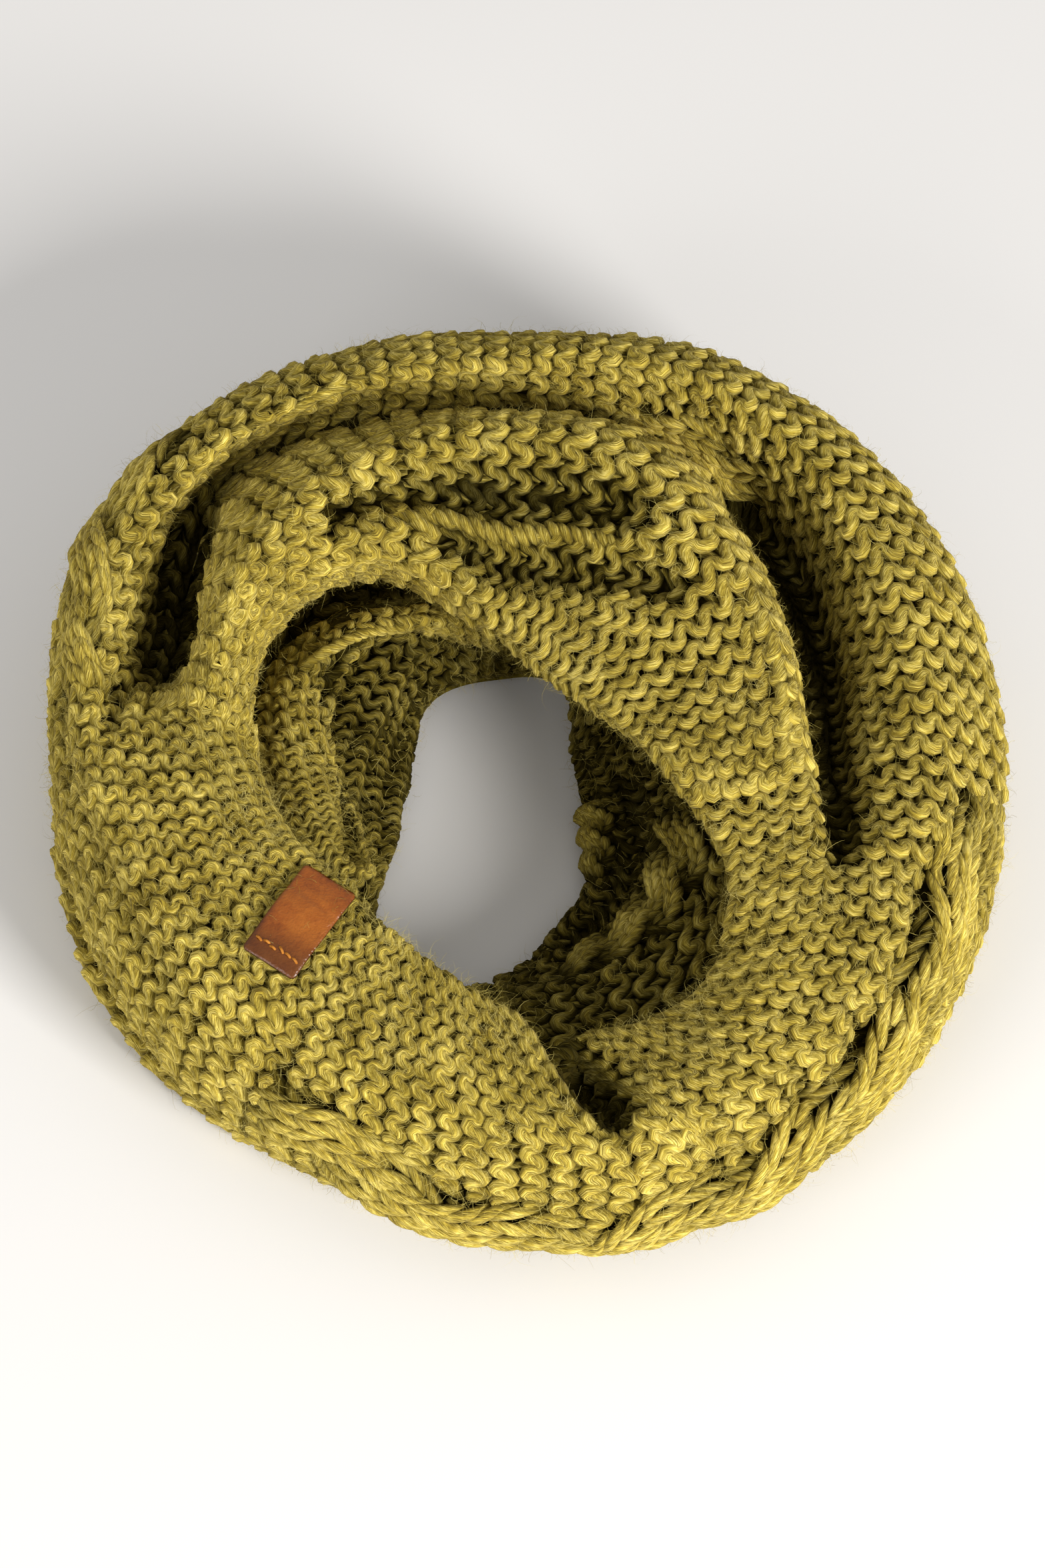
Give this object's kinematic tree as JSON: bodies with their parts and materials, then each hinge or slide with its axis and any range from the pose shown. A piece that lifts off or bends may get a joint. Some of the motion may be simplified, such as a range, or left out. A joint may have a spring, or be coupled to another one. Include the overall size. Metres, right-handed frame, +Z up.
{
  "type": "infinity_scarf",
  "caption": "Chunky knitted infinity scarf in olive mustard wool, wound twice and laid in a round heap, with a small tan leather fold-over label by the opening.",
  "frame": {"origin": "centre of the scarf's footprint, on the surface it rests on", "axes": "+Z up, label and open pinch towards -Y, +X to the right seen from the label's side"},
  "size_m": [0.3116, 0.3144, 0.0969],
  "materials": {
    "knit_yarn": "matte fuzzy wool yarn",
    "label_leather": "smooth satin leather"
  },
  "bodies": {
    "root": {"front_stretch": "knit_yarn", "outer_stretch": "knit_yarn", "inner_stretch": "knit_yarn", "middle_fold": "knit_yarn", "lower_turn": "knit_yarn", "leather_label": "label_leather"}
  },
  "joints": []
}
